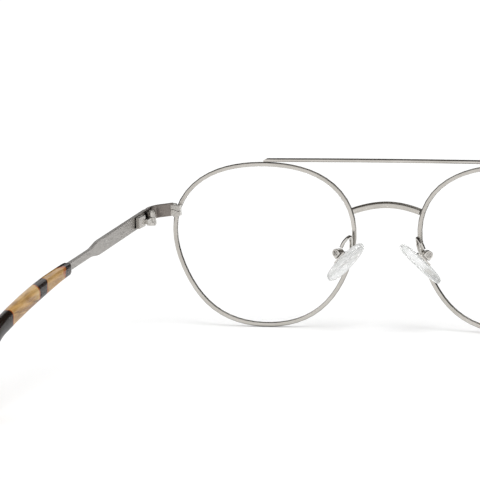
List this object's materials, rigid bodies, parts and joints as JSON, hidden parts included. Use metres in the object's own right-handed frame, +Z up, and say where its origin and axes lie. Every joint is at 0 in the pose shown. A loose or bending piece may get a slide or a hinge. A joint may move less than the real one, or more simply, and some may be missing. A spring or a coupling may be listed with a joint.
{
  "type": "eyeglasses",
  "caption": "Round wire eyeglasses with a brow bar above an arched bridge, folding flat temples, acetate tips and rocking nose pads.",
  "frame": {"origin": "on the ground under the middle of the bounding box", "axes": "+X to the wearer's left, -Y to the front, +Z up; the eye wires and both tips stand on Z = 0"},
  "size_m": [0.1364, 0.1566, 0.0481],
  "materials": {
    "pewter_steel": "satin pewter plating on stainless steel wire and sheet",
    "polished_steel": "tumble-polished nickel silver",
    "screw_steel": "turned stainless steel, slotted",
    "clear_lens": "clear, colourless, polished plastic lens",
    "clear_silicone": "clear moulded silicone, slightly cloudy",
    "tortoise_acetate": "polished cellulose acetate, honey with near-black bands"
  },
  "bodies": {
    "front": {"bridge": "pewter_steel", "brow_bar": "pewter_steel", "closing_block_lower_left": "polished_steel", "closing_block_lower_right": "polished_steel", "closing_block_upper_left": "polished_steel", "closing_block_upper_right": "polished_steel", "end_piece_left": "pewter_steel", "end_piece_right": "pewter_steel", "hinge_front_left": "polished_steel", "hinge_front_right": "polished_steel", "hinge_screw_left": "screw_steel", "hinge_screw_right": "screw_steel", "lens_left": "clear_lens", "lens_right": "clear_lens", "pad_arm_left": "polished_steel", "pad_arm_right": "polished_steel", "pad_box_left": "polished_steel", "pad_box_right": "polished_steel", "pad_screw_left": "screw_steel", "pad_screw_right": "screw_steel", "rim_left": "pewter_steel", "rim_right": "pewter_steel", "rim_screw_left": "screw_steel", "rim_screw_right": "screw_steel"},
    "temple_left_arm": {"temple_left": "pewter_steel", "temple_tip_left": "tortoise_acetate", "hinge_temple_left": "polished_steel"},
    "pad_left": {"nose_pad_left": "clear_silicone", "pad_insert_left": "polished_steel"},
    "temple_right_arm": {"temple_right": "pewter_steel", "temple_tip_right": "tortoise_acetate", "hinge_temple_right": "polished_steel"},
    "pad_right": {"nose_pad_right": "clear_silicone", "pad_insert_right": "polished_steel"}
  },
  "joints": [
    {"name": "temple_fold_left", "type": "hinge", "parent": "front", "child": "temple_left_arm", "pos_m": [0.0657, -0.066, 0.03197], "axis": [0, 0.0231, 0.9997], "range_deg": [0, 88]},
    {"name": "temple_fold_right", "type": "hinge", "parent": "front", "child": "temple_right_arm", "pos_m": [-0.0657, -0.066, 0.03197], "axis": [0, -0.0231, -0.9997], "range_deg": [0, 84]},
    {"name": "pad_rock_left", "type": "hinge", "parent": "front", "child": "pad_left", "pos_m": [0.01275, -0.07072, 0.02217], "axis": [0.3852, 0.9228, 0.0021], "range_deg": [-6, 6]},
    {"name": "pad_rock_right", "type": "hinge", "parent": "front", "child": "pad_right", "pos_m": [-0.01275, -0.07072, 0.02217], "axis": [0.3852, -0.9228, -0.0021], "range_deg": [-6, 6]}
  ]
}
